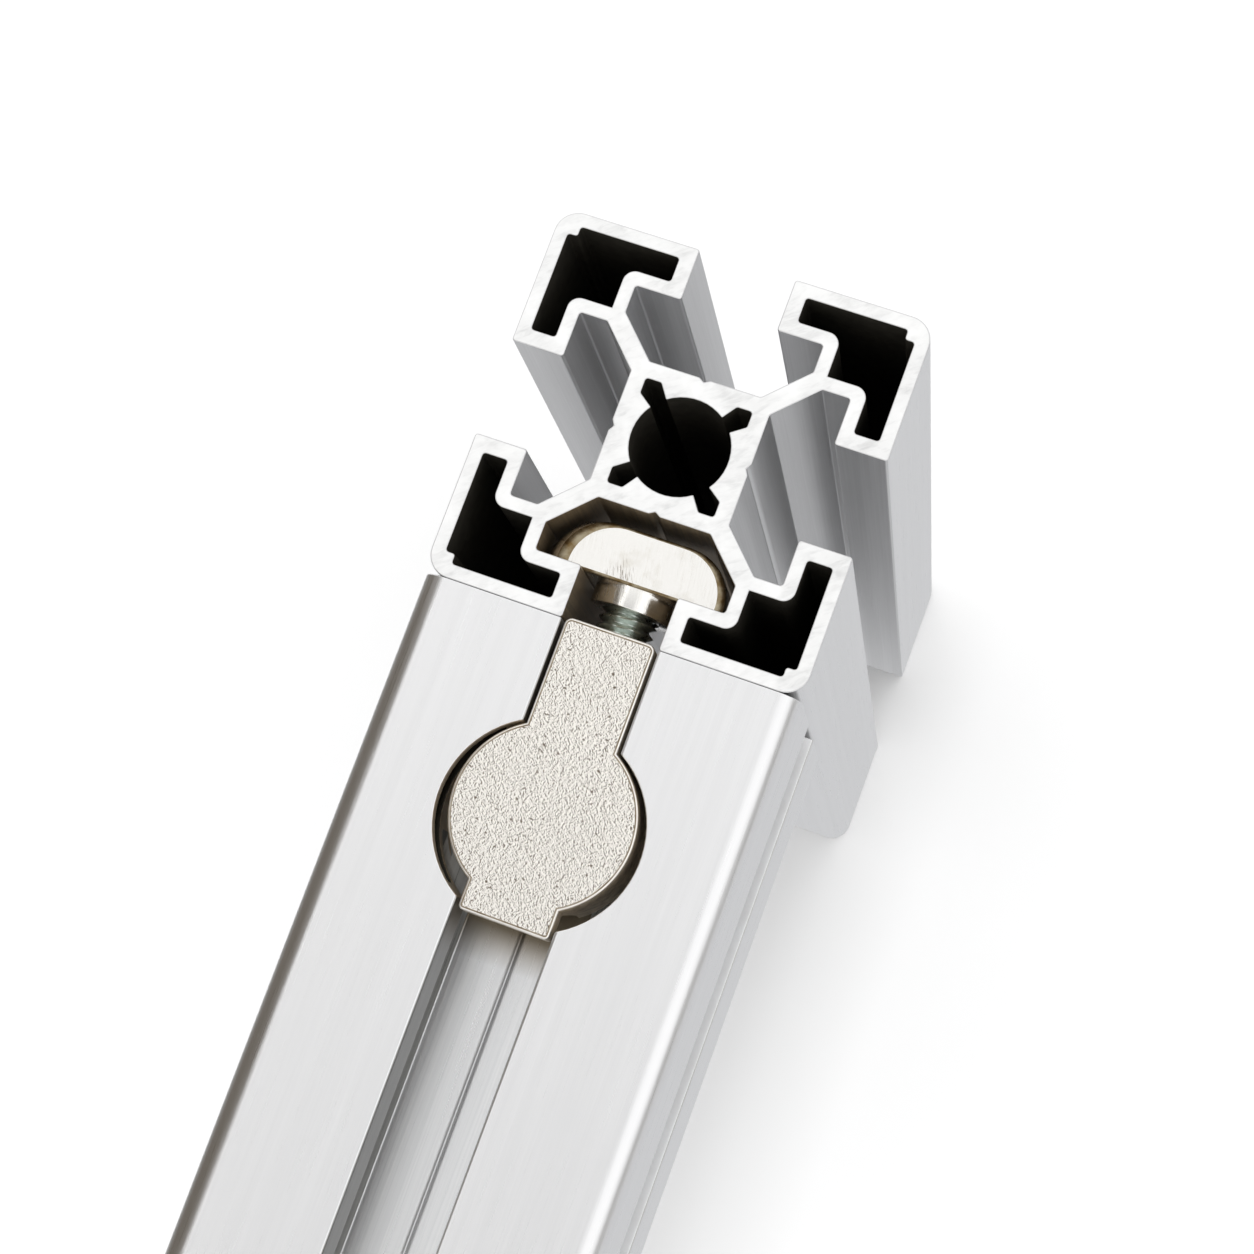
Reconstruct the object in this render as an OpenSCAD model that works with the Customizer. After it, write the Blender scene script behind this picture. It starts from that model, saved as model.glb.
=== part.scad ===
// Blind butt joint of two slotted aluminium profiles.
// The post stands on its foot at the origin with its axis along +Z. The rail butts against the
// post's -Y face, flush with the post's top end, and runs away along -Y. A die-cast connector sits
// in a round pocket in the rail's top slot, and its screw pulls on a hammer nut in the post's slot.

/* [Profile] */
// Width and height of the square profile
profile_w = 40; // [39.5:0.5:50]
// Thickness of the outer walls and of the walls around the slots
wall = 1.5; // [1.2:0.1:1.8]
// Radius of the profile's outer corners
corner_r = 2.5; // [1:0.1:4]
// Width of the slot's mouth
slot_w = 10.2; // [9.9:0.1:10.8]
// Depth of the lips on both sides of the slot's mouth
lip_d = 5.6; // [5:0.1:6]
// Thickness of the end wall of each lip
lip_end = 1.7; // [1.2:0.1:2.2]
// Radius on the edges of the lips
lip_r = 0.3; // [0.2:0.1:0.8]
// Width of the slot's cavity behind the lips
cavity_w = 20; // [19:0.1:20.4]
// Thickness of the diagonal webs between the core and the corners
web_t = 2.1; // [1.6:0.1:2.4]
// Diameter of the core bore, the tapping size of an M12 thread
core_d = 10.2; // [9.5:0.1:10.8]
// Metal between the core bore and the slot floors
core_wall = 2.3; // [2:0.1:2.6]
// Metal between the tips of the core notches and the slot floors
notch_wall = 1.75; // [1.4:0.05:2]
// Width of each core notch
notch_w = 1.6; // [1.2:0.1:1.9]
// Width of the centre line cut along each slot floor
nick_w = 1.2; // [0.6:0.1:1.6]
// Depth of that centre line
nick_d = 0.35; // [0.2:0.05:0.6]
// Size of the square thickening in the corner of each corner chamber
boss_w = 1.05; // [0.6:0.05:1.4]
// Radius of the round bends inside the corner chambers
bend_r = 1.3; // [0.8:0.1:1.5]

/* [Post] */
// Length of the post
post_length = 118; // [80:1:200]

/* [Rail] */
// Length of the rail
rail_length = 90; // [70:1:200]
// Diameter of the pocket that is bored for the connector
pocket_d = 21; // [20.6:0.1:21.6]
// Distance from the rail's end to the middle of the pocket
pocket_set = 20; // [19:0.1:22]
// Depth of the pocket below the knee of the slot's cavity, which leaves a seat for the connector
seat_step = 1; // [0.8:0.1:1.2]

/* [Connector] */
// Diameter of the connector's round barrel
barrel_d = 18.8; // [18.6:0.1:19.2]
// Gap between the barrel and the front wall of the pocket
barrel_gap = 0.15; // [0.1:0.05:0.3]
// Width of the neck that lies in the slot
neck_w = 9.5; // [9.2:0.1:9.7]
// Reach of the neck's front end past the rail, into the mouth of the post's slot
nose = 0.35; // [0.1:0.05:0.6]
// Radius of the neck's front corners
neck_r = 0.8; // [0.4:0.1:1.2]
// Width of the tail tab that guides the connector in the slot
tail_w = 9.5; // [9.2:0.1:9.7]
// Distance from the barrel's middle to the end of the tail tab
tail_reach = 11.15; // [10.5:0.05:14]
// Radius of the tail tab's corners
tail_r = 0.5; // [0.3:0.1:1]
// Thickness of the tail tab
tail_t = 2.7; // [2.3:0.1:3]
// Depth of the connector's top face below the rail's top face
top_recess = 0.3; // [0.1:0.1:0.5]
// Gap between the neck and the slot floor under it
neck_lift = 0.4; // [0.2:0.1:0.6]
// Room around the screw's shank in the neck
shank_room = 0.3; // [0.15:0.05:0.5]
// Room around the screw's head in the connector's channel
head_room = 0.4; // [0.2:0.05:0.5]

/* [Screw] */
// Thread diameter of the clamp screw
screw_d = 6; // [5.6:0.1:6.2]
// Thread pitch
pitch = 1; // [0.8:0.1:1.2]
// Length of the screw under its head
screw_length = 25; // [24:0.5:26]
// Diameter of the screw's head
head_d = 10; // [9.4:0.1:10.2]
// Height of the screw's head
head_h = 6; // [4:0.5:6.5]
// Width across the flats of the hexagon socket
socket_af = 5; // [4:0.5:5.5]
// Depth of the hexagon socket
socket_depth = 3; // [2:0.5:3.5]
// Gap between the screw's head and the slot floor
head_lift = 0.2; // [0.1:0.05:0.4]

/* [Hammer nut] */
// Room between the nut and each side of the slot's cavity
nut_room = 0.6; // [0.5:0.1:1.6]
// Length of the nut along the slot, small enough to pass the slot's mouth
nut_length = 9.5; // [8.5:0.1:9.7]
// Travel of the nut from the lips towards the slot floor when the screw is loosened
nut_travel = 0.6; // [0.4:0.1:0.7]
// Gap that is left over the nut at the end of that travel
nut_gap = 0.8; // [0.6:0.1:1]
// Height of the upright part of the nut's sides
nut_edge = 0.4; // [0.4:0.1:0.8]
// Radius of the two corners that let the nut turn into the slot
nut_turn_r = 3; // [2:0.1:4]
// Radius of the nut's two stop corners
nut_stop_r = 0.6; // [0.3:0.1:1]
// Diameter of the nut's collar in the slot's mouth
collar_d = 8.8; // [8.2:0.1:9.6]
// Height of the nut's collar
collar_h = 2.2; // [1.6:0.1:2.8]
// Room around the screw's thread in the nut
thread_room = 0.05; // [0.03:0.01:0.08]

/* [Hidden] */

SMALL_R = 0.3;
PAST = 1;
$fn = 64;

// Profile section, measured from its middle
half_w = profile_w / 2;
lip_in = half_w - lip_d;
cavity_h = cavity_w / 2;
slot_floor = core_d / 2 + core_wall;
cavity_knee = cavity_h + web_t / sqrt(2);
floor_h = cavity_h - (cavity_knee - slot_floor);
slot_h = slot_w / 2;
slot_depth = half_w - slot_floor;
notch_tip = slot_floor - notch_wall;

// Rail and its pocket
rail_top = post_length;
rail_mid = rail_top - half_w;
rail_start = -half_w;
pocket_y = rail_start - pocket_set;
pocket_depth = half_w - cavity_knee + seat_step;

// Connector, set forward in its pocket as the screw pulls it
barrel_y = pocket_y + (pocket_d - barrel_d) / 2 - barrel_gap;
housing_top = rail_top - top_recess;
housing_base = rail_top - slot_depth + neck_lift;
barrel_base = rail_top - pocket_depth;
neck_front = rail_start + nose;
channel_r = head_d / 2 + head_room;

// Screw axis, as low as the head allows
axis_z = rail_top - slot_depth + head_lift + head_d / 2;
screw_tip = -slot_floor - nut_travel - nut_gap - SMALL_R;
screw_seat = screw_tip - screw_length;
thread_depth = 0.61 * pitch;

// Hammer nut
nut_w = cavity_w - 2 * nut_room;
nut_t = lip_in - slot_floor - nut_travel - nut_gap;
dome_r = min(nut_t - nut_edge, nut_w / 2 - PAST);

// Number of straight steps in a quarter arc of radius r
function arc_steps(r) = r < 0.5 ? 3 : r < 1 ? 5 : 8;

// Points of the arc that rounds corner b, between its neighbours a and c, to radius r
function round_corner(a, b, c, r) =
    r == 0 ? [b] :
    let (
        to_a = (a - b) / norm(a - b),
        to_c = (c - b) / norm(c - b),
        bend = acos(to_a * to_c) / 2,
        centre = b + (to_a + to_c) / norm(to_a + to_c) * r / sin(bend),
        first = b + to_a * r / tan(bend) - centre,
        last = b + to_c * r / tan(bend) - centre,
        from = atan2(first[1], first[0]),
        turn = (atan2(last[1], last[0]) - from + 540) % 360 - 180,
        steps = arc_steps(r)
    )
    [for (k = [0 : steps])
        let (angle = from + turn * k / steps)
        centre + r * [cos(angle), sin(angle)]];

// Outline with a radius at each corner; each corner is [x, y, radius]
function rounded(corners) =
    let (
        count = len(corners),
        at = [for (corner = corners) [corner[0], corner[1]]]
    )
    [for (k = [0 : count - 1])
        each round_corner(at[(k + count - 1) % count], at[k], at[(k + 1) % count], corners[k][2])];

// Corner turned round the profile's axis by a number of quarter turns
function turned(point, quarter) =
    let (angle = 90 * quarter)
    [
        point[0] * cos(angle) - point[1] * sin(angle),
        point[0] * sin(angle) + point[1] * cos(angle),
        point[2]
    ];

// One quarter of the profile's outline, from the middle of one slot floor to the next
QUARTER = [
    [slot_floor - nick_d, 0, 0],
    [slot_floor, nick_w / 2, 0],
    [slot_floor, floor_h, SMALL_R],
    [cavity_knee, cavity_h, SMALL_R],
    [lip_in, cavity_h, SMALL_R],
    [lip_in, slot_h, lip_r],
    [half_w, slot_h, lip_r],
    [half_w, half_w, corner_r],
    [slot_h, half_w, lip_r],
    [slot_h, lip_in, lip_r],
    [cavity_h, lip_in, SMALL_R],
    [cavity_h, cavity_knee, SMALL_R],
    [floor_h, slot_floor, SMALL_R],
    [nick_w / 2, slot_floor, 0]
];

// Hollow chamber in a corner of the profile
chamber_out = half_w - wall;
chamber_end = slot_h + lip_end;
chamber_lip = lip_in + wall;
chamber_in = cavity_h + wall;
CHAMBER = [
    [chamber_end, chamber_out, SMALL_R],
    [chamber_out - boss_w, chamber_out, SMALL_R],
    [chamber_out - boss_w, chamber_out - boss_w, SMALL_R],
    [chamber_out, chamber_out - boss_w, SMALL_R],
    [chamber_out, chamber_end, SMALL_R],
    [chamber_lip, chamber_end, SMALL_R],
    [chamber_lip, chamber_in, bend_r],
    [chamber_in, chamber_in, 0],
    [chamber_in, chamber_lip, bend_r],
    [chamber_end, chamber_lip, SMALL_R]
];

NOTCH = [
    [0, 0, 0],
    [notch_tip, notch_tip - notch_w, SMALL_R],
    [notch_tip, notch_tip, SMALL_R],
    [notch_tip - notch_w, notch_tip, SMALL_R]
];

module profile_section() {
    difference() {
        polygon(rounded([for (quarter = [0 : 3]) for (corner = QUARTER) turned(corner, quarter)]));
        for (quarter = [0 : 3])
            rotate(90 * quarter) {
                polygon(rounded(CHAMBER));
                polygon(rounded(NOTCH));
            }
        circle(d = core_d);
    }
}

module post_profile() {
    color("gainsboro") linear_extrude(post_length) profile_section();
}

module rail_profile() {
    color("gainsboro") difference() {
        translate([0, rail_start, rail_mid]) rotate([90, 0, 0])
            linear_extrude(rail_length) profile_section();
        translate([0, pocket_y, rail_top - pocket_depth])
            cylinder(d = pocket_d, h = pocket_depth + PAST);
    }
}

// Plan of the neck, from its front end back to the plane at back
module neck_plan(back) {
    polygon(rounded([
        [-neck_w / 2, back, 0],
        [neck_w / 2, back, 0],
        [neck_w / 2, neck_front, neck_r],
        [-neck_w / 2, neck_front, neck_r]
    ]));
}

module tail_plan() {
    polygon(rounded([
        [-tail_w / 2, barrel_y - tail_reach, tail_r],
        [tail_w / 2, barrel_y - tail_reach, tail_r],
        [tail_w / 2, barrel_y, 0],
        [-tail_w / 2, barrel_y, 0]
    ]));
}

module connector_housing() {
    color("tan") difference() {
        union() {
            translate([0, barrel_y, barrel_base])
                cylinder(d = barrel_d, h = housing_top - barrel_base);
            translate([0, 0, housing_base])
                linear_extrude(housing_top - housing_base) neck_plan(screw_seat);
            translate([0, 0, housing_top - tail_t])
                linear_extrude(tail_t) tail_plan();
        }
        // Channel for the screw's head and its key, open below and behind
        translate([0, screw_seat, axis_z]) rotate([90, 0, 0])
            cylinder(r = channel_r, h = rail_length);
        translate([-channel_r, screw_seat - rail_length, housing_base - PAST])
            cube([2 * channel_r, rail_length, axis_z - housing_base + PAST]);
        // Hole for the screw's shank
        translate([0, screw_seat - PAST, axis_z]) rotate([-90, 0, 0])
            cylinder(r = screw_d / 2 + shank_room, h = neck_front - screw_seat + 2 * PAST);
    }
}

// Section of the nut across the slot, with its flat side on the line y = 0
module nut_section() {
    polygon(rounded([
        [-nut_w / 2, 0, SMALL_R],
        [nut_w / 2, 0, SMALL_R],
        [nut_w / 2, nut_t, dome_r],
        [-nut_w / 2, nut_t, dome_r]
    ]));
}

// Plan of the nut along the screw's axis: two corners are round so that it turns one way only
module nut_plan() {
    polygon(rounded([
        [-nut_w / 2, -nut_length / 2, nut_stop_r],
        [nut_w / 2, -nut_length / 2, nut_turn_r],
        [nut_w / 2, nut_length / 2, nut_stop_r],
        [-nut_w / 2, nut_length / 2, nut_turn_r]
    ]));
}

module hammer_nut() {
    color("wheat") translate([0, -lip_in, axis_z]) difference() {
        union() {
            intersection() {
                translate([0, 0, -nut_length / 2]) linear_extrude(nut_length) nut_section();
                translate([0, nut_t + PAST, 0]) rotate([90, 0, 0])
                    linear_extrude(nut_t + 2 * PAST) nut_plan();
            }
            rotate([90, 0, 0]) cylinder(d = collar_d, h = collar_h);
        }
        translate([0, nut_t + PAST, 0]) rotate([90, 0, 0])
            cylinder(r = screw_d / 2 + thread_room, h = nut_t + collar_h + 2 * PAST);
    }
}

// Outline of the threaded shank from its axis: one ring for each turn of the thread
module shank_outline() {
    crest = screw_d / 2;
    root = crest - thread_depth;
    turns = floor(screw_length / pitch);
    polygon([
        [0, 0],
        for (k = [0 : turns - 1]) each [
            [crest, k * pitch],
            [crest, (k + 0.2) * pitch],
            [root, (k + 0.55) * pitch],
            [root, (k + 0.65) * pitch]
        ],
        [root, screw_length],
        [0, screw_length]
    ]);
}

module clamp_screw() {
    color("dimgray") translate([0, screw_seat, axis_z]) rotate([-90, 0, 0]) {
        difference() {
            translate([0, 0, -head_h]) cylinder(d = head_d, h = head_h);
            translate([0, 0, -head_h - PAST])
                cylinder(d = socket_af / cos(30), h = socket_depth + PAST, $fn = 6);
        }
        rotate_extrude() shank_outline();
    }
}

post_profile();
rail_profile();
connector_housing();
hammer_nut();
clamp_screw();
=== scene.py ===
"""Looks of a blind joint: two slotted aluminium profiles, a cast connector, its screw and its nut."""

import math

import bmesh
import bpy
from bpy.props import FloatProperty, FloatVectorProperty, IntProperty, PointerProperty
from bpy.types import Operator, Panel, PropertyGroup
from mathutils import Matrix, Vector


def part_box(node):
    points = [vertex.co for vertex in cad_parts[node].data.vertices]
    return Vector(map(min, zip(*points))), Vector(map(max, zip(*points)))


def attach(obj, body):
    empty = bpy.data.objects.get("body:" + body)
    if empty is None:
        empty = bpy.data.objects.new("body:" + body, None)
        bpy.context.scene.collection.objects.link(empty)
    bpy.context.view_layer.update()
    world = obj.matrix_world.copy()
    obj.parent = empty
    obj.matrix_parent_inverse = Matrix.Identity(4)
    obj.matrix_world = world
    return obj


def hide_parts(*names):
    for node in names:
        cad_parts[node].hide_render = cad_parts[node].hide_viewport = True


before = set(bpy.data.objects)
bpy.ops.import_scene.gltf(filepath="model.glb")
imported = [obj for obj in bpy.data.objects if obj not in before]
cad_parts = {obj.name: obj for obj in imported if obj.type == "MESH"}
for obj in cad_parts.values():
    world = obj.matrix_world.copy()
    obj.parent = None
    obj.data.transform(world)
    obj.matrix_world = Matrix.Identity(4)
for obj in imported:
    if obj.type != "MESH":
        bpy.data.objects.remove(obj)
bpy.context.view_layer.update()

bl_info = {
    "name": "Profile Blind Joint",
    "version": (1, 0, 0),
    "blender": (4, 5, 0),
    "location": "3D View > Sidebar > Blind Joint",
    "description": "Finishes the profiles, the connector, the nut and the screw of a blind joint",
    "category": "Object",
}

MM = 0.001

# Top of the joint, the screw's ends along Y and the height of its axis
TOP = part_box("post_profile")[1].z
SCREW_LOW, SCREW_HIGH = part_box("clamp_screw")
SCREW_Z = (SCREW_LOW.z + SCREW_HIGH.z) / 2

# Kinds of faces on a profile, in the order of its materials
KINDS = (
    "outside", "slot", "floor", "tail_shadowed", "shaded_web", "lip", "hollow", "sawn", "contact_shade", "bored", "nut_slot_shade",
)

# Bounds in a profile's section, in millimetres from its axis
OUTSIDE_FROM = 18.6
CORE_TO = 6.6
CHAMBER_FROM = 15.5
CHAMBER_CORNER = 11.2
MOUTH_HALF = 5.2
FLOOR_HALF = 6.0
FLOOR_TO = 9.0
LIP_FROM = 14.0

# Pocket in the rail, in millimetres: its axis along Y, its depth and the radii between which its wall lies
POCKET_Y = -40.0
POCKET_DEPTH = 10.0
POCKET_R = (9.8, 10.6)


def colour_prop(name, description, default):
    return FloatVectorProperty(
        name=name, description=description, subtype="COLOR", size=3, min=0, max=1, default=default
    )


def strength_prop(name, description, default):
    return FloatProperty(
        name=name, description=description, subtype="FACTOR", min=0, soft_max=2, default=default
    )


def length_prop(name, description, default_mm):
    return FloatProperty(
        name=name, description=description, subtype="DISTANCE", unit="LENGTH",
        min=0, precision=5, default=default_mm * MM,
    )


class ProfileFinish(PropertyGroup):
    """Finish of the post and the rail"""

    anodised: colour_prop("Anodised", "Colour of the drawn and anodised faces", (0.90, 0.90, 0.905))
    # Painted shade: the slot walls of the post, and darker still those of the rail, are the anodised finish
    # made darker for the shade inside the slots
    slot: colour_prop("Slot shade", "Colour of the walls inside the post's slots", (0.73, 0.73, 0.735))
    rail_slot_shade: colour_prop("Rail slot shade", "Colour of the walls inside the rail's slots", (0.37, 0.37, 0.365))
    # Painted light: the slot floors, and the lip walls, get this brighter copy of the anodised finish,
    # which stands in for light reaching into the slots
    lit_slot_floor: colour_prop("Lit slot floor", "Colour of the floor of the rail's slots", (0.95, 0.96, 0.97))
    # Painted shade: the slanting webs in the rail's slots are the anodised finish made darker
    shaded_web: colour_prop("Shaded web", "Colour of the slanting webs inside the rail's slots", (0.60, 0.60, 0.585))
    # Painted shadow: a brown darkening on the rail's slot floor where the connector's tail shades it,
    # growing towards the tail
    stain_and_shade: colour_prop("Stain and shade", "Colour of the stain on the slot floor at the tail", (0.33, 0.275, 0.20))
    tail_shadow_reach: length_prop("Tail shadow reach", "How far the stain reaches from the tail", 4.0)
    sawn: colour_prop("Sawn", "Colour of the sawn end faces", (0.73, 0.73, 0.725))
    # Painted shade and reflection: the bored pocket is a warm brown that stands in for the shade and brown
    # reflections inside it
    bored: colour_prop("Bored shade", "Colour of the pocket that is bored for the connector", (0.72, 0.61, 0.47))
    # Painted shade: the post's slot round the nut is dark brown by the nut and fades to the slot colour
    # deeper down
    nut_slot_shade: colour_prop("Nut slot shade", "Colour of the slot round the nut, browned by oil", (0.25, 0.195, 0.13))
    shade_thins: length_prop("Shade thins", "Depth in the slot where the oil starts to thin out", 25)
    shade_ends: length_prop("Shade ends", "Depth in the slot where the oil ends", 70)
    # Painted shade: the rail's end, pressed on the post, is near black, as no light reaches between the
    # parts
    contact_shade: colour_prop("Contact shade", "Colour of the rail's end, pressed on the post", (0.05, 0.047, 0.042))
    # Painted shade: near black inside the closed chambers
    hollow: colour_prop("Hollow", "Colour deep inside the hollow chambers", (0.020, 0.018, 0.014))
    # Painted shade: grey on the facets of the broken edges round the sawn faces
    broken: colour_prop("Broken edge shade", "Colour of the broken edges", (0.58, 0.58, 0.58))
    edge: length_prop("Edge", "Width of the broken edges", 0.13)


class ConnectorFinish(PropertyGroup):
    """Finish of the cast connector housing"""

    cast: colour_prop("Cast", "Colour of the cast skin", (0.90, 0.865, 0.815))
    # Painted shade: the dark side of each crease
    crease_shade: colour_prop("Crease shade", "Colour in the creases of the cast skin", (0.15, 0.115, 0.08))
    crease_size: length_prop("Crease size", "Distance between creases of the cast skin", 0.54)
    # Painted highlight: the bright colour of the housing's rounded edges and of the lit side of its creases
    rim: colour_prop("Rim", "Colour of the bright edge", (1.0, 0.97, 0.91))
    # A dark brown line just inside the rounded edge of the housing's top
    dark_line: colour_prop("Dark line", "Colour of the line inside the edge", (0.20, 0.145, 0.085))
    # Painted shade: the housing's sides and channel are a warm, darker copy of the cast skin
    side: colour_prop("Side", "Colour of the sides and of the channel", (0.76, 0.66, 0.52))
    edge: length_prop("Edge", "Radius of the cast edges", 0.22)
    dark_line_w: length_prop("Dark line width", "Width of the line inside the edge", 0.14)
    barrel_d: length_prop("Barrel", "Diameter of the round barrel", 18.8)
    neck_w: length_prop("Neck", "Width of the neck and of the tail tab", 9.5)
    neck_r: length_prop("Neck corners", "Radius of the neck's front corners", 0.8)
    tail_reach: length_prop("Tail reach", "Distance from the barrel's middle to the end of the tail", 11.15)
    tail_t: length_prop("Tail thickness", "Thickness of the tail tab", 2.7)
    tail_r: length_prop("Tail corners", "Radius of the tail's corners", 0.5)
    barrel_h: length_prop("Barrel height", "Height of the barrel", 9.2)
    channel_r: length_prop("Channel", "Radius of the channel for the screw's head", 5.4)
    shank_r: length_prop("Shank hole", "Radius of the hole for the screw's shank", 3.3)
    draft: length_prop("Draft", "How far the neck block stands back from the neck's sides", 0.04)
    block_back: length_prop("Block back", "How far the neck block stands back from the neck's front", 0.3)


class NutFinish(PropertyGroup):
    """Sizes and finish of the hammer nut"""

    plated: colour_prop("Plated", "Colour of the nickel plating", (0.98, 0.965, 0.93))
    # Stains in the plating; the same colour also spots the rims' painted reflection
    stain_and_shade: colour_prop("Stain and shade", "Colour of the stains in the plating", (0.52, 0.46, 0.33))
    # Painted reflection: the nut's rounded rims are dark brown, as they mirror the dark slot round them
    rim: colour_prop("Rim", "Colour of the browned edges", (0.20, 0.135, 0.06))
    scar: colour_prop("Scar", "Colour of the scratches over the collar", (0.16, 0.11, 0.06))
    edge: length_prop("Edge", "Radius of the rims of the nut's two end faces", 0.32)
    side_h: length_prop("Side height", "Height of the upright part of the nut's sides", 0.6)
    base_r: length_prop("Base corners", "Radius of the corners on the nut's flat side", 0.39)
    turn_r: length_prop("Turn corners", "Radius of the two corners that let the nut turn", 2.0)
    stop_r: length_prop("Stop corners", "Radius of the two corners that stop the nut", 0.6)
    collar_d: length_prop("Collar", "Diameter of the collar", 8.8)
    collar_h: length_prop("Collar height", "Height of the collar", 2.2)
    bore_r: length_prop("Bore", "Radius of the bore for the screw", 3.05)
    scar_left: length_prop("Scar left", "How far left of the collar's middle the scratches lie", 1.5)
    scar_in: length_prop("Scar inwards", "How far from the collar's end the scratches lie", 2.9)
    scar_reach: length_prop("Scar reach", "How far the scratches over the collar reach", 2.6)


class ScrewFinish(PropertyGroup):
    """Sizes and finish of the clamp screw"""

    black: colour_prop("Black", "Colour of the blackened steel", (0.42, 0.46, 0.43))
    pitch: length_prop("Pitch", "Pitch of the thread", 1.0)
    thread_depth: length_prop("Thread depth", "Depth of the thread", 0.61)
    thread_d: length_prop("Thread diameter", "Outer diameter of the thread", 6.0)
    head_d: length_prop("Head diameter", "Diameter of the head", 10.0)
    head_h: length_prop("Head height", "Height of the head", 6.0)
    socket_af: length_prop("Socket", "Width across the flats of the socket", 5.0)
    socket_depth: length_prop("Socket depth", "Depth of the socket", 3.0)
    ridges: IntProperty(name="Ridges", description="Number of ridges round the head", min=8, default=32)


class StageSetup(PropertyGroup):
    """Floor, light and camera"""

    floor: colour_prop("Floor", "Colour of the floor", (0.88, 0.88, 0.88))
    floor_w: length_prop("Floor width", "Width and length of the floor", 20000)
    floor_gap: length_prop("Floor gap", "How far the floor lies below the post", 0.2)
    flag: colour_prop("Flag", "Colour of the dark card on the left", (0.14, 0.122, 0.10))
    flag_low: colour_prop("Flag low", "Colour of the lower edge of the dark card", (0.36, 0.355, 0.35))
    front: colour_prop("Front", "Colour of the card in front", (0.80, 0.80, 0.80))
    edge_flag: colour_prop("Edge flag", "Colour of the card low on the right", (0.36, 0.355, 0.34))
    floor_card: colour_prop("Floor card", "Colour of the card on the floor at right", (0.64, 0.645, 0.655))
    ceiling_near: colour_prop("Ceiling near", "Colour of the ceiling over the rail", (0.62, 0.62, 0.62))
    ceiling_far: colour_prop("Ceiling far", "Colour of the ceiling behind the post", (0.96, 0.96, 0.96))
    softbox: strength_prop("Softbox", "Strength of the bright card on the right", 1.12)
    strip: strength_prop("Strip", "Strength of the bright card on the left", 1.4)
    key: FloatProperty(
        name="Key", description="Power of the light overhead", subtype="POWER", unit="POWER",
        min=0, default=6,
    )
    lens: FloatProperty(
        name="Lens", description="Focal length of the camera", subtype="DISTANCE_CAMERA", unit="CAMERA",
        min=1, default=75.08,
    )


class BlindJoint(PropertyGroup):
    """All settings of the joint"""

    profile: PointerProperty(name="Profile", description="Finish of the profiles", type=ProfileFinish)
    connector: PointerProperty(name="Connector", description="The connector housing", type=ConnectorFinish)
    nut: PointerProperty(name="Nut", description="The hammer nut", type=NutFinish)
    screw: PointerProperty(name="Screw", description="The clamp screw", type=ScrewFinish)
    stage: PointerProperty(name="Stage", description="Floor, light and camera", type=StageSetup)


# Shader helpers


def put(tree, kind, **settings):
    """Adds a shader node; a setting names an input socket (by name) or a property of the node."""
    node = tree.nodes.new(kind)
    for key, value in settings.items():
        name = key.replace("_", " ").title()
        if hasattr(node, key):
            setattr(node, key, value)
        elif name in node.inputs:
            node.inputs[name].default_value = value
        else:
            raise KeyError(f"{kind} has no {key}")
    return node


def math_node(tree, operation, first, second=None):
    node = tree.nodes.new("ShaderNodeMath")
    node.operation = operation
    for socket, value in zip(node.inputs, (first, second)):
        if value is None:
            continue
        if isinstance(value, (int, float)):
            socket.default_value = value
        else:
            tree.links.new(value, socket)
    return node.outputs[0]


def blend_node(tree, factor, first, second):
    """Mixes two colours; each is a socket or a colour."""
    node = tree.nodes.new("ShaderNodeMix")
    node.data_type = "RGBA"
    for socket, value in ((node.inputs[0], factor), (node.inputs[6], first), (node.inputs[7], second)):
        if isinstance(value, bpy.types.NodeSocket):
            tree.links.new(value, socket)
        elif isinstance(value, (int, float)):
            socket.default_value = value
        else:
            socket.default_value = (*value[:3], 1)
    return node.outputs[2]


def range_node(tree, value, low, high, to_low=0.0, to_high=1.0):
    node = tree.nodes.new("ShaderNodeMapRange")
    tree.links.new(value, node.inputs["Value"])
    for name, number in (("From Min", low), ("From Max", high), ("To Min", to_low), ("To Max", to_high)):
        node.inputs[name].default_value = number
    return node.outputs["Result"]


def place_part(tree, axis):
    """One of the object coordinates."""
    parts = tree.nodes.new("ShaderNodeSeparateXYZ")
    place = tree.nodes.new("ShaderNodeTexCoord")
    tree.links.new(place.outputs["Object"], parts.inputs[0])
    return parts.outputs[axis]


def scaled_place(tree, scale):
    """Object coordinates times a scale, which is a vector or a socket."""
    place = tree.nodes.new("ShaderNodeTexCoord")
    node = tree.nodes.new("ShaderNodeVectorMath")
    node.operation = "MULTIPLY"
    tree.links.new(place.outputs["Object"], node.inputs[0])
    if isinstance(scale, bpy.types.NodeSocket):
        tree.links.new(scale, node.inputs[1])
    else:
        node.inputs[1].default_value = scale
    return node.outputs["Vector"]


def noise_at(tree, vector, scale=1.0, detail=2.0, roughness=0.5, distortion=0.0):
    node = put(
        tree, "ShaderNodeTexNoise", scale=scale, detail=detail, roughness=roughness, distortion=distortion
    )
    tree.links.new(vector, node.inputs["Vector"])
    return node.outputs["Fac"]


def new_group(name, inputs, outputs):
    """Shader node group with named sockets; returns the group, its input node and its output node."""
    group = bpy.data.node_groups.new(name, "ShaderNodeTree")
    for label, kind, default in inputs:
        socket = group.interface.new_socket(name=label, in_out="INPUT", socket_type=kind)
        socket.default_value = default
    for label in outputs:
        group.interface.new_socket(name=label, in_out="OUTPUT", socket_type="NodeSocketFloat")
    return group, group.nodes.new("NodeGroupInput"), group.nodes.new("NodeGroupOutput")


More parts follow.
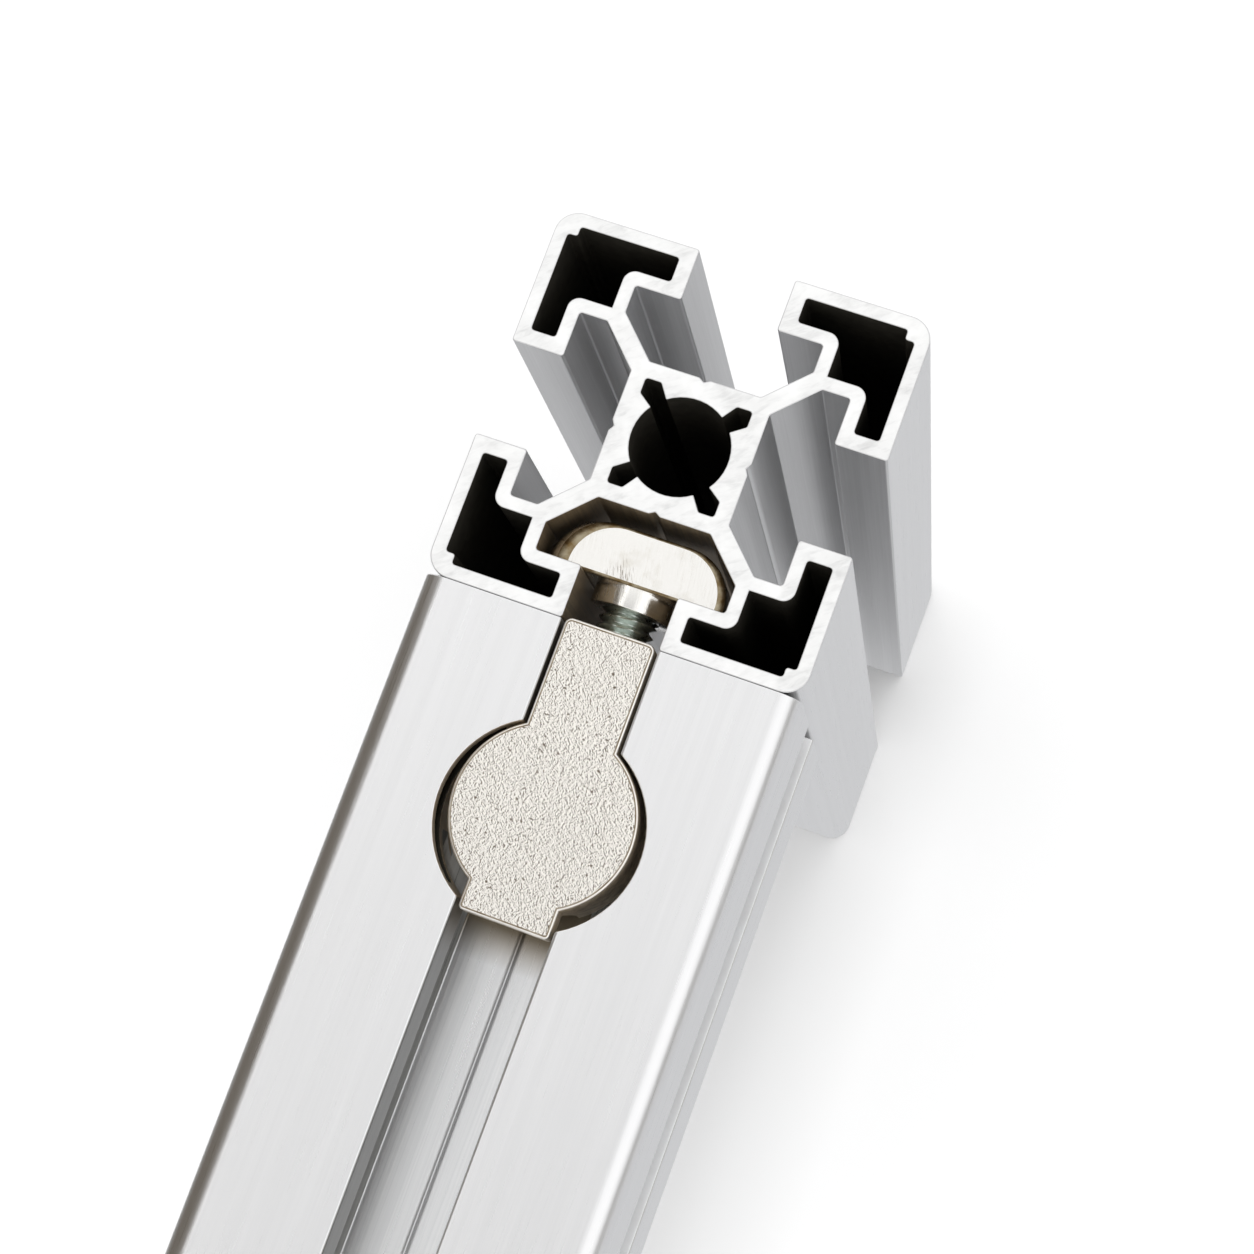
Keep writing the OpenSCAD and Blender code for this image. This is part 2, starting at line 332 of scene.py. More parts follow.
def drawn_grain_group():
    """Fine lines along a profile, as the die and the brush leave them."""
    name = "Drawn Grain"
    if name in bpy.data.node_groups:
        return bpy.data.node_groups[name]
    group, given, result = new_group(
        name, [("Scale", "NodeSocketVector", (1, 1, 1))], ["Fine", "Broad", "Height"]
    )
    place = scaled_place(group, given.outputs["Scale"])
    fine = noise_at(group, place, scale=1.0, detail=4.0, roughness=0.65)
    broad = noise_at(group, place, scale=0.12, detail=2.0, roughness=0.5)
    group.links.new(range_node(group, fine, 0.3, 0.7), result.inputs["Fine"])
    group.links.new(range_node(group, broad, 0.32, 0.68), result.inputs["Broad"])
    group.links.new(fine, result.inputs["Height"])
    return group


def tool_marks_group():
    """Straight marks across a face at an angle, as a saw or a scrape leaves them."""
    name = "Tool Marks"
    if name in bpy.data.node_groups:
        return bpy.data.node_groups[name]
    group, given, result = new_group(
        name,
        [("Scale", "NodeSocketVector", (1, 1, 1)), ("Angle", "NodeSocketFloat", 0.0)],
        ["Marks", "Patches", "Height"],
    )
    place = group.nodes.new("ShaderNodeTexCoord")
    turn = put(group, "ShaderNodeVectorRotate", rotation_type="Z_AXIS")
    group.links.new(place.outputs["Object"], turn.inputs["Vector"])
    group.links.new(given.outputs["Angle"], turn.inputs["Angle"])
    stretch = put(group, "ShaderNodeVectorMath", operation="MULTIPLY")
    group.links.new(turn.outputs["Vector"], stretch.inputs[0])
    group.links.new(given.outputs["Scale"], stretch.inputs[1])
    marks = noise_at(group, stretch.outputs["Vector"], detail=3.0, roughness=0.6, distortion=0.4)
    patches = noise_at(group, place.outputs["Object"], scale=260.0, detail=3.0, roughness=0.6)
    group.links.new(range_node(group, marks, 0.46, 0.72), result.inputs["Marks"])
    group.links.new(range_node(group, patches, 0.35, 0.65), result.inputs["Patches"])
    group.links.new(marks, result.inputs["Height"])
    return group


def new_material(name, metallic, roughness):
    """Material with its Principled shader; returns the material, its tree and the shader."""
    material = bpy.data.materials.new(name)
    material.use_nodes = True
    shader = material.node_tree.nodes["Principled BSDF"]
    shader.inputs["Metallic"].default_value = metallic
    shader.inputs["Roughness"].default_value = roughness
    return material, material.node_tree, shader


def place_group(tree, group, **values):
    node = tree.nodes.new("ShaderNodeGroup")
    node.node_tree = group
    for key, value in values.items():
        node.inputs[key.title()].default_value = value
    return node


def set_colour(tree, shader, colour):
    tree.links.new(colour, shader.inputs["Base Color"])


def set_roughness(tree, shader, amount, low, high):
    tree.links.new(range_node(tree, amount, 0, 1, low, high), shader.inputs["Roughness"])


def add_bump(tree, shader, height, depth, strength=1.0):
    bump = put(tree, "ShaderNodeBump", strength=strength, distance=depth)
    tree.links.new(height, bump.inputs["Height"])
    tree.links.new(bump.outputs["Normal"], shader.inputs["Normal"])


def drawn_material(name, colour, scale, contrast, roughness, metallic=1.0, stain_and_shade=None):
    """Anodised face with grain along the profile; scale is lines per metre in X, Y and Z.

    A painted shadow, such as the one under the connector's tail, is its colour and the two places along Y
    between which it grows from nothing.
    """
    material, tree, shader = new_material(name, metallic, roughness)
    grain = place_group(tree, drawn_grain_group(), scale=scale)
    lines = math_node(tree, "MULTIPLY", grain.outputs["Fine"], 0.55)
    lines = math_node(tree, "ADD", lines, math_node(tree, "MULTIPLY", grain.outputs["Broad"], 0.45))
    low = [c * (1 - contrast) for c in colour]
    high = [min(1, c * (1 + contrast * 0.6)) for c in colour]
    ground = blend_node(tree, lines, low, high)
    if stain_and_shade:
        ground = blend_node(tree, range_node(tree, place_part(tree, "Y"), *stain_and_shade[1:]), ground, stain_and_shade[0])
    set_colour(tree, shader, ground)
    set_roughness(tree, shader, grain.outputs["Fine"], roughness - 0.04, roughness + 0.08)
    add_bump(tree, shader, grain.outputs["Height"], 0.00002, 0.35)
    return material


def nut_slot_shade_material(finish):
    """Slot wall with painted brown shade round the nut, which thins out below it."""
    material, tree, shader = new_material("Nut slot painted shade", 1.0, 0.36)
    grain = place_group(tree, drawn_grain_group(), scale=(4000, 4000, 27))
    # Painted shade is full at the top by the nut and fades out between the two depths
    shade_fade = range_node(tree, place_part(tree, "Z"), TOP - finish.shade_ends, TOP - finish.shade_thins)
    dark, light = ([c * share for c in finish.nut_slot_shade] for share in (0.75, 1.3))
    brown_shade = blend_node(tree, grain.outputs["Fine"], dark, light)
    slot_shade = blend_node(tree, grain.outputs["Broad"], [c * 0.85 for c in finish.slot], finish.slot)
    set_colour(tree, shader, blend_node(tree, shade_fade, slot_shade, brown_shade))
    set_roughness(tree, shader, grain.outputs["Fine"], 0.5, 0.62)
    add_bump(tree, shader, grain.outputs["Height"], 0.00002, 0.35)
    return material


def sawn_material(name, colour, broken):
    """Sawn end face: pale, mottled, with faint slanting saw marks and painted grey shade on its broken
    edge.
    """
    material, tree, shader = new_material(name, 0.25, 0.5)
    marks = place_group(tree, tool_marks_group(), scale=(1500, 420, 400), angle=0.9)
    worn = math_node(tree, "MULTIPLY", marks.outputs["Marks"], marks.outputs["Patches"])
    ground = blend_node(tree, marks.outputs["Patches"], [min(1, c * 1.1) for c in colour], colour)
    ground = blend_node(tree, worn, ground, [c * 0.8 for c in colour])
    face = tree.nodes.new("ShaderNodeNewGeometry")
    parts = tree.nodes.new("ShaderNodeSeparateXYZ")
    tree.links.new(face.outputs["True Normal"], parts.inputs[0])
    level = math_node(
        tree, "MAXIMUM",
        math_node(tree, "ABSOLUTE", parts.outputs["Y"]), math_node(tree, "ABSOLUTE", parts.outputs["Z"]),
    )
    # Painted shade: facets whose normal leans off the end face's normal turn grey
    edge = range_node(tree, level, 0.93, 0.99, 1.0, 0.0)
    set_colour(tree, shader, blend_node(tree, edge, ground, broken))
    set_roughness(tree, shader, worn, 0.42, 0.6)
    add_bump(tree, shader, marks.outputs["Height"], 0.00004, 0.3)
    return material


def spotted_material(name, colour, worn, size, roughness, metallic=1.0):
    """Surface in two colours that change in spots of about a size, used for the painted light and shade of
    several faces.
    """
    material, tree, shader = new_material(name, metallic, roughness)
    spots = noise_at(tree, scaled_place(tree, [1 / size] * 3), detail=3.0, roughness=0.6)
    spots = range_node(tree, spots, 0.35, 0.7)
    set_colour(tree, shader, blend_node(tree, spots, colour, worn))
    set_roughness(tree, shader, spots, roughness, roughness + 0.15)
    return material


def chamber_shade_material(name, colour):
    """Painted near-black shade inside the closed chambers, which no light reaches."""
    material, tree, shader = new_material(name, 0.0, 0.7)
    shader.inputs["Specular IOR Level"].default_value = 0.1
    haze = noise_at(tree, scaled_place(tree, (900, 900, 900)), detail=3.0)
    set_colour(tree, shader, blend_node(tree, haze, colour, [c * 2.5 for c in colour]))
    return material


def pocket_shade_material(name, colour):
    """Bored pocket, with rings round its axis, in a warm colour that paints its shade and the brown
    reflections in it.
    """
    material, tree, shader = new_material(name, 0.6, 0.3)
    rings = place_group(tree, drawn_grain_group(), scale=(60, 60, 9000))
    darker_shade = [c * 0.7 for c in colour]
    set_colour(tree, shader, blend_node(tree, rings.outputs["Fine"], darker_shade, colour))
    add_bump(tree, shader, rings.outputs["Height"], 0.00003, 0.4)
    return material


def cast_material(finish):
    """Cast skin with short curly creases all over, each with painted shade on one side and a painted
    highlight on the other.
    """
    material, tree, shader = new_material("Creased zinc casting with painted relief light", 0.85, 0.34)
    size = 1 / finish.crease_size
    turned = put(tree, "ShaderNodeVectorRotate", rotation_type="Z_AXIS", angle=0.6)
    tree.links.new(scaled_place(tree, (size, size, size)), turned.inputs["Vector"])
    place = put(tree, "ShaderNodeVectorMath", operation="MULTIPLY")
    tree.links.new(turned.outputs["Vector"], place.inputs[0])
    place.inputs[1].default_value = (0.8, 1.1, 1)

    def relief(scale, shift, folds):
        """Height of the folds less their height a little further on: slopes towards and from the light."""
        heights = []
        for step in (0, shift):
            moved = put(tree, "ShaderNodeVectorMath", operation="ADD")
            tree.links.new(place.outputs[0], moved.inputs[0])
            moved.inputs[1].default_value = (step, step, 0)
            wave = noise_at(tree, moved.outputs[0], scale=scale, detail=1.0, roughness=0.5, distortion=1.0)
            heights.append(math_node(tree, "PINGPONG", wave, folds))
        return math_node(tree, "SUBTRACT", *heights)

    large, small = relief(1.0, 0.14, 0.14), relief(2.1, 0.1, 0.2)
    slope = math_node(tree, "ADD", large, math_node(tree, "MULTIPLY", small, 0.6))
    # Painted light: the slope between two shifted copies of the folds sets painted shade on one side of
    # each crease and a painted highlight on the other; dark dots add painted shade
    dark, bright = range_node(tree, slope, -0.018, -0.095), range_node(tree, slope, 0.0, 0.06)
    pit_shade = range_node(tree, noise_at(tree, place.outputs[0], scale=1.6, detail=1.0), 0.66, 0.74)
    dark = math_node(tree, "MAXIMUM", dark, pit_shade)
    cloud = range_node(tree, noise_at(tree, place.outputs[0], scale=0.06, detail=2.0), 0.3, 0.7)
    ground = blend_node(tree, cloud, [c * 0.95 for c in finish.cast], finish.cast)
    ground = blend_node(tree, bright, ground, finish.rim)
    set_colour(tree, shader, blend_node(tree, dark, ground, finish.crease_shade))
    set_roughness(tree, shader, dark, 0.3, 0.5)
    add_bump(tree, shader, slope, 0.00004, 0.6)
    return material


def plated_material(finish, scarred):
    """Plating with short scratches in patches, warm stains, and deeper scratches round one point of it."""
    material, tree, shader = new_material("Nickel plating", 1.0, 0.2)
    marks = place_group(tree, tool_marks_group(), scale=(5200, 420, 700), angle=-0.15)
    worn = math_node(tree, "MULTIPLY", marks.outputs["Marks"], marks.outputs["Patches"])
    spots = range_node(tree, noise_at(tree, scaled_place(tree, (420, 420, 420)), detail=3.0), 0.56, 0.8)
    ground = blend_node(tree, math_node(tree, "MULTIPLY", spots, 0.3), finish.plated, finish.stain_and_shade)
    ground = blend_node(tree, math_node(tree, "MULTIPLY", worn, 0.16), ground, finish.stain_and_shade)
    place = tree.nodes.new("ShaderNodeTexCoord")
    away = put(tree, "ShaderNodeVectorMath", operation="DISTANCE")
    tree.links.new(place.outputs["Object"], away.inputs[0])
    away.inputs[1].default_value = scarred
    near = range_node(tree, away.outputs["Value"], 0.2 * finish.scar_reach, finish.scar_reach, 1.0, 0.0)
    scars = place_group(tree, tool_marks_group(), scale=(9500, 700, 700), angle=-0.32)
    scars = range_node(tree, math_node(tree, "MULTIPLY", scars.outputs["Marks"], near), 0.2, 0.8)
    set_colour(tree, shader, blend_node(tree, scars, ground, finish.scar))
    set_roughness(tree, shader, worn, 0.18, 0.4)
    add_bump(tree, shader, marks.outputs["Height"], 0.00003, 0.3)
    return material


def black_material(finish):
    """Blackened steel with an oil sheen and lighter worn patches."""
    material, tree, shader = new_material("Blackened steel", 1.0, 0.3)
    grain = place_group(tree, drawn_grain_group(), scale=(2500, 1500, 2500))
    worn = [c * 1.6 for c in finish.black]
    set_colour(tree, shader, blend_node(tree, grain.outputs["Broad"], finish.black, worn))
    set_roughness(tree, shader, grain.outputs["Fine"], 0.22, 0.42)
    add_bump(tree, shader, grain.outputs["Height"], 0.00002, 0.3)
    return material


# Mesh helpers


def soften(obj, width, segments, limit_deg):
    """Shades a solid smoothly and rounds its sharp edges."""
    mesh = obj.data
    if "custom_normal" in mesh.attributes:
        mesh.attributes.remove(mesh.attributes["custom_normal"])
    mesh.shade_smooth()
    join = obj.modifiers.new("Join faces", "WELD")
    join.merge_threshold = 1e-6
    flats = obj.modifiers.new("Merge flats", "DECIMATE")
    flats.decimate_type = "DISSOLVE"
    flats.angle_limit = math.radians(0.3)
    rounding = obj.modifiers.new("Edge rounding", "BEVEL")
    rounding.width = width
    rounding.segments = segments
    rounding.limit_method = "ANGLE"
    rounding.angle_limit = math.radians(limit_deg)
    rounding.use_clamp_overlap = False
    rounding.loop_slide = False
    evened = obj.modifiers.new("Even normals", "WEIGHTED_NORMAL")
    evened.keep_sharp = True


def section_kind(across, up):
    """Which part of a profile's section a point just off a face lies in; sizes in millimetres."""
    far, near = max(abs(across), abs(up)), min(abs(across), abs(up))
    if far > OUTSIDE_FROM:
        return "slot" if near < MOUTH_HALF else "outside"
    if far < CORE_TO or (near > CORE_TO and (far > CHAMBER_FROM or near > CHAMBER_CORNER)):
        return "hollow"
    return "slot"


def rail_slot_kind(across, up, normal):
    """Which part of the rail's slots a face is; sizes in millimetres."""
    far, near = max(abs(across), abs(up)), min(abs(across), abs(up))
    upward = normal.z > 0.3
    # Floors take painted light; those facing up also take the painted shadow under the tail
    if near < FLOOR_HALF and far < FLOOR_TO:
        return "tail_shadowed" if upward else "floor"
    # Slanting webs get the darker colour that paints their shade
    if min(abs(normal.x), abs(normal.z)) > 0.5:
        return "shaded_web"
    # Up-facing walls in the mouth of a side slot get painted light: a bright matt copy of the finish
    return "lip" if upward and abs(across) > LIP_FROM else "slot"


def on_pocket(point, normal):
    """Whether a face of the rail is the wall of the pocket; the point is in millimetres."""
    off = Vector((point.x, point.y - POCKET_Y, 0))
    upright = abs(normal.z) < 0.5 and point.z > TOP / MM - POCKET_DEPTH
    return upright and POCKET_R[0] < off.length < POCKET_R[1] and normal.dot(off.normalized()) < -0.95


def paint_profile(obj, along, centre, materials):
    """Gives each face of a profile along Y (1) or Z (2) the material of its place in the section."""
    obj.data.materials.clear()
    for kind in KINDS:
        obj.data.materials.append(materials[kind])
    just_off = 0.3 * MM
    for face in obj.data.polygons:
        normal = face.normal
        point = (face.center + normal * just_off) / MM
        across, up = (point[axis] - centre[axis] / MM for axis in (0, 3 - along))
        if abs(normal[along]) > 0.9:
            # The rail's end against the post gets near-black painted shade
            kind = "contact_shade" if along == 1 and normal.y > 0 else "sawn"
        elif along == 1 and on_pocket(point, normal):
            kind = "bored"
        else:
            kind = section_kind(across, up)
            if kind == "slot" and along == 1:
                kind = rail_slot_kind(across, up, normal)
            # The post's slot that holds the nut gets painted brown shade
            elif kind == "slot" and up < -abs(across):
                kind = "nut_slot_shade"
        face.material_index = KINDS.index(kind)


def mesh_from(bm, name):
    """Mesh of what has been built, with its normals outwards."""
    bmesh.ops.recalc_face_normals(bm, faces=bm.faces)
    mesh = bpy.data.meshes.new(name)
    bm.to_mesh(mesh)
    bm.free()
    return mesh


def new_piece(mesh, materials):
    """Object of a mesh in the scene, with the mesh's name."""
    for material in materials:
        mesh.materials.append(material)
    piece = bpy.data.objects.new(mesh.name, mesh)
    bpy.context.scene.collection.objects.link(piece)
    return piece


def shade(mesh, sharp_deg):
    mesh.shade_smooth()
    mesh.set_sharp_from_angle(angle=math.radians(sharp_deg))


def plain(radius):
    """Radius of a round ring, for lathe."""
    return lambda angle, k: radius


def lathe(name, rings, steps):
    """Closed mesh of rings round Z; each is a height and a function of angle and step for its radius."""
    bm = bmesh.new()
    loops = []
    for height, radius in rings:
        loop = []
        for k in range(steps):
            angle = 2 * math.pi * k / steps
            r = radius(angle, k)
            loop.append(bm.verts.new((r * math.cos(angle), r * math.sin(angle), height)))
        loops.append(loop)
    for low, high in zip(loops, loops[1:]):
        wall_between(bm, high, low)
    bm.faces.new(list(reversed(loops[0])))
    bm.faces.new(loops[-1])
    return mesh_from(bm, name)


def round_corner(before, corner, after, radius, steps=6):
    """Points of the arc that rounds a corner of an outline."""
    to_before, to_after = (before - corner).normalized(), (after - corner).normalized()
    bend = to_before.angle(to_after) / 2
    middle = corner + (to_before + to_after).normalized() * radius / math.sin(bend)
    first = (corner + to_before * radius / math.tan(bend) - middle).normalized()
    last = (corner + to_after * radius / math.tan(bend) - middle).normalized()
    return [middle + radius * first.slerp(last, k / steps).normalized() for k in range(steps + 1)]


def inset(outline, depth):
    """Outline moved inwards by a depth; it runs counter-clockwise."""
    moved = []
    count = len(outline)
    for k, point in enumerate(outline):
        one = (point - outline[k - 1]).normalized()
        two = (outline[(k + 1) % count] - point).normalized()
        left = (Vector((-one.y, one.x)) + Vector((-two.y, two.x))).normalized()
        moved.append(point + left * depth / max(0.3, left.dot(Vector((-one.y, one.x)))))
    return moved


def housing_outline(sizes, front, middle):
    """Keyhole plan, counter-clockwise; also the index where the tail begins and the arc behind it."""
    barrel_r, half = sizes.barrel_d / 2, sizes.neck_w / 2
    rear = middle - sizes.tail_reach
    open_angle = math.acos(half / barrel_r)

    def arc(start, end, steps):
        return [
            Vector((0, middle)) + barrel_r * Vector((math.cos(a), math.sin(a)))
            for a in (start + (end - start) * k / steps for k in range(steps + 1))
        ]

    right = arc(-open_angle, open_angle, 48)
    left = arc(math.pi - open_angle, math.pi + open_angle, 48)
    neck = [right[-1], Vector((half, front)), Vector((-half, front)), left[0]]
    tail = [left[-1], Vector((-half, rear)), Vector((half, rear)), right[0]]
    outline = list(right)
    outline += round_corner(neck[0], neck[1], neck[2], sizes.neck_r)
    outline += round_corner(neck[1], neck[2], neck[3], sizes.neck_r)
    outline += left
    tail_from = len(outline)
    outline += round_corner(tail[0], tail[1], tail[2], sizes.tail_r)
    outline += round_corner(tail[1], tail[2], tail[3], sizes.tail_r)
    behind = arc(math.pi + open_angle, 2 * math.pi - open_angle, 40)[1:-1]
    return outline, tail_from, behind


def circle(radius, steps):
    angles = (2 * math.pi * k / steps for k in range(steps))
    return [Vector((radius * math.cos(a), radius * math.sin(a))) for a in angles]


def ring_at(bm, points, z):
    return [bm.verts.new((p.x, p.y, z)) for p in points]


def wall_between(bm, upper, lower, slot=0, closed=True):
    """Faces between two rings, with their material's index."""
    for k in range(len(upper) if closed else len(upper) - 1):
        n = (k + 1) % len(upper)
        bm.faces.new((upper[k], lower[k], lower[n], upper[n])).material_index = slot


def prism(name, outline, low, high):
    """Closed prism of a counter-clockwise outline in X and Y."""
    bm = bmesh.new()
    base, top = ring_at(bm, outline, low), ring_at(bm, outline, high)
    bm.faces.new(list(reversed(base)))
    bm.faces.new(top)
    wall_between(bm, top, base)
    return mesh_from(bm, name)


def lay_on_axis(mesh, start):
    """Lays a mesh that stands on Z along the screw's axis, from a place on Y towards the rail's far end."""
    mesh.transform(Matrix.Translation((0, start, SCREW_Z)) @ Matrix.Rotation(math.pi / 2, 4, "X"))
    return mesh


def work_on(obj, mesh, operation):
    """Joins a mesh to a piece or cuts it out of the piece; the new faces get the piece's last material."""
    for material in obj.data.materials:
        mesh.materials.append(material)
    for face in mesh.polygons:
        face.material_index = len(mesh.materials) - 1
    tool = bpy.data.objects.new("tool", mesh)
    bpy.context.scene.collection.objects.link(tool)
    step = obj.modifiers.new("step", "BOOLEAN")
    step.operation = operation
    step.solver = "EXACT"
    step.object = tool
    bpy.context.view_layer.update()
    worked = bpy.data.meshes.new_from_object(obj.evaluated_get(bpy.context.evaluated_depsgraph_get()))
    obj.modifiers.remove(step)
    obj.data = worked
    bpy.data.objects.remove(tool)


def housing_piece(sizes, materials, seat):
    """Connector housing: keyhole plate with a rounded top edge, barrel, neck block, channel and shank hole.

    The materials are those of the top face, the line inside its edge, the edge and the sides. The seat is
    the place of the screw's head along Y.
    """
    low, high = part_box("connector_housing")
    top = high.z
    outline, tail_from, behind = housing_outline(sizes, high.y, low.y + sizes.tail_reach)
    bm = bmesh.new()
    skin, line, rim, side = range(4)
    rings = [ring_at(bm, inset(outline, sizes.edge + sizes.dark_line_w), top)]
    bm.faces.new(rings[0]).material_index = skin
    steps = 4
    for k in range(steps + 1):
        angle = math.pi / 2 * k / steps
        away, down = sizes.edge * (1 - math.sin(angle)), sizes.edge * (1 - math.cos(angle))
        rings.append(ring_at(bm, inset(outline, away), top - down))
    under = ring_at(bm, outline, top - sizes.tail_t)
    rings.append(under)
    for upper, lower, slot in zip(rings, rings[1:], [line] + [rim] * steps + [side]):
        wall_between(bm, upper, lower, slot)
    base = ring_at(bm, outline[:tail_from], top - sizes.barrel_h)
    wall_between(bm, under[:tail_from], base, side, closed=False)
    back_top, back_base = (ring_at(bm, behind, top - depth) for depth in (sizes.tail_t, sizes.barrel_h))
    first, last = under[tail_from - 1], under[0]
    wall_between(bm, [first] + back_top + [last], [base[-1]] + back_base + [base[0]], side, closed=False)
    tail = [first] + under[tail_from:] + [last]
    bm.faces.new(back_top + list(reversed(tail))).material_index = side
    bm.faces.new(list(reversed(base + back_base))).material_index = side
    piece = new_piece(mesh_from(bm, "cast_housing"), materials)
    half, front = sizes.neck_w / 2 - sizes.draft, high.y - sizes.block_back
    block = [Vector((half, seat)), Vector((half, front)), Vector((-half, front)), Vector((-half, seat))]
    work_on(piece, prism("neck_block", block, low.z, top - sizes.tail_t), "UNION")
    # The channel for the head and the hole for the shank reach past the piece
    r, deep, channel_l = sizes.channel_r, 0.02, 0.04
    arch = [Vector((-r, -deep)), Vector((r, -deep))]
    arch += [Vector((r * math.cos(a), r * math.sin(a))) for a in (math.pi * k / 32 for k in range(33))]
    work_on(piece, lay_on_axis(prism("channel", arch, 0, channel_l), seat), "DIFFERENCE")
    lead, hole_l = 0.005, 0.03
    hole = prism("hole", circle(sizes.shank_r, 48), 0, hole_l)
    work_on(piece, lay_on_axis(hole, high.y + lead), "DIFFERENCE")
    shade(piece.data, 32)
    return piece


def nut_piece(sizes, materials):
    """Hammer nut: domed bar with two corners rounded for turning, a collar and a bore for the screw.

    The materials are those of the two end faces, of their rims and of the sides.
    """
    low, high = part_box("hammer_nut")
    flat, half = low.y + sizes.collar_h, high.x
    dome_r = high.y - flat - sizes.side_h
    corners = [Vector((-half, flat)), Vector((half, flat)), Vector((half, high.y)), Vector((-half, high.y))]
    outline = []
    for k, (radius, steps) in enumerate(((sizes.base_r, 4), (sizes.base_r, 4), (dome_r, 20), (dome_r, 20))):
        outline += round_corner(corners[k - 1], corners[k], corners[(k + 1) % 4], radius, steps)

    def fallen(radius, depth):
        """How far a rounding stands back at a depth below the face that it starts from."""
        return radius - math.sqrt(radius ** 2 - max(0, radius - depth) ** 2)

    def ring(depth, upper, extra=0):
        turn, stop = fallen(sizes.turn_r, depth), fallen(sizes.stop_r, depth)
        left, right = (turn, stop) if upper else (stop, turn)
        points = [Vector((p.x + left if p.x < 0 else p.x - right, p.y)) for p in outline]
        z = high.z - depth if upper else low.z + depth
        return ring_at(bm, inset(points, fallen(sizes.edge, depth) + extra), z)

    bm = bmesh.new()
    face, rim, side = range(3)
    steps = 16
    depths = [sizes.turn_r * (1 - math.cos(math.pi / 2 * k / steps)) for k in range(steps + 1)]
    slots = [face] + [rim if depth <= sizes.edge else side for depth in depths[1:]]
    border = 0.00002
    rings = [ring(0, True, border)] + [ring(depth, True) for depth in depths]
    rings += [ring(depth, False) for depth in reversed(depths)] + [ring(0, False, border)]
    bm.faces.new(rings[0]).material_index = face
    bm.faces.new(list(reversed(rings[-1]))).material_index = face
    for upper, lower, slot in zip(rings, rings[1:], slots + [side] + slots[::-1]):
        wall_between(bm, upper, lower, slot)
    piece = new_piece(mesh_from(bm, "plated_nut"), materials)
    collar_r, overlap, lip = sizes.collar_d / 2, 0.0005, 0.0002
    end = sizes.collar_h + overlap
    collar = lathe("collar", [
        (0, plain(collar_r)),
        (end - lip, plain(collar_r)),
        (end - lip * 0.3, plain(collar_r - lip * 0.3)),
        (end, plain(collar_r - lip)),
    ], 96)
    work_on(piece, lay_on_axis(collar, flat + overlap), "UNION")
    bore = prism("bore", circle(sizes.bore_r, 64), 0, high.y - low.y + 2 * overlap)
    work_on(piece, lay_on_axis(bore, high.y + overlap), "DIFFERENCE")
    shade(piece.data, 32)
    return piece


def screw_mesh(screw, length):
    """Cap screw along Z: the bearing face of the head at zero, the thread above it."""
    steps = 3 * screw.ridges
    head_r, head_h = screw.head_d / 2, screw.head_h
    crest, root = screw.thread_d / 2, screw.thread_d / 2 - screw.thread_depth
    groove, steep, valley, run_out = 0.984, 2.6, 0.18, 0.35

    def ridged(r):
        return lambda angle, k: r if k % 3 else r * groove

    def hexagon(shrink):
        def radius(angle, k):
            within = (angle + math.pi / 6) % (math.pi / 3) - math.pi / 6
            return (screw.socket_af / 2 - shrink) / math.cos(within)
        return radius

    def thread(height):
        def radius(angle, k):
            turn = (height / screw.pitch - angle / (2 * math.pi)) % 1
            rise = min(1, max(0, abs(turn - 0.5) * steep - valley))
            taper = min(1, max(run_out, (length - height) / screw.pitch))
            return root + (crest - root) * rise * taper
        return radius

    depth = -head_h + screw.socket_depth
    chamfer, crown, foot = 0.0002, 0.0009, 0.0006
    rings = [
        (depth + 2 * chamfer, plain(0.0003)),
        (depth, hexagon(chamfer)),
        (depth - chamfer, hexagon(0)),
        (-head_h + 0.0003, hexagon(0)),
        (-head_h, hexagon(-chamfer)),
        (-head_h, plain(head_r - crown)),
        (-head_h + chamfer, plain(head_r - 2 * chamfer)),
        (-head_h + crown - chamfer, plain(head_r * 0.99)),
        (-head_h + crown, ridged(head_r)),
        (-foot, ridged(head_r)),
        (-foot + chamfer, plain(head_r * 0.985)),
        (-foot / 6, plain(head_r * 0.975)),
        (0, plain(head_r * 0.955)),
        (0, plain(crest + chamfer)),
    ]
    rows = int(length / screw.pitch * 10)
    for k in range(1, rows):
        height = length * k / rows
        rings.append((height, thread(height)))
    rings += [(length - 0.00002, plain(root * 0.9)), (length, plain(root * 0.8))]
    return lathe("cut_screw", rings, steps)


# Operators


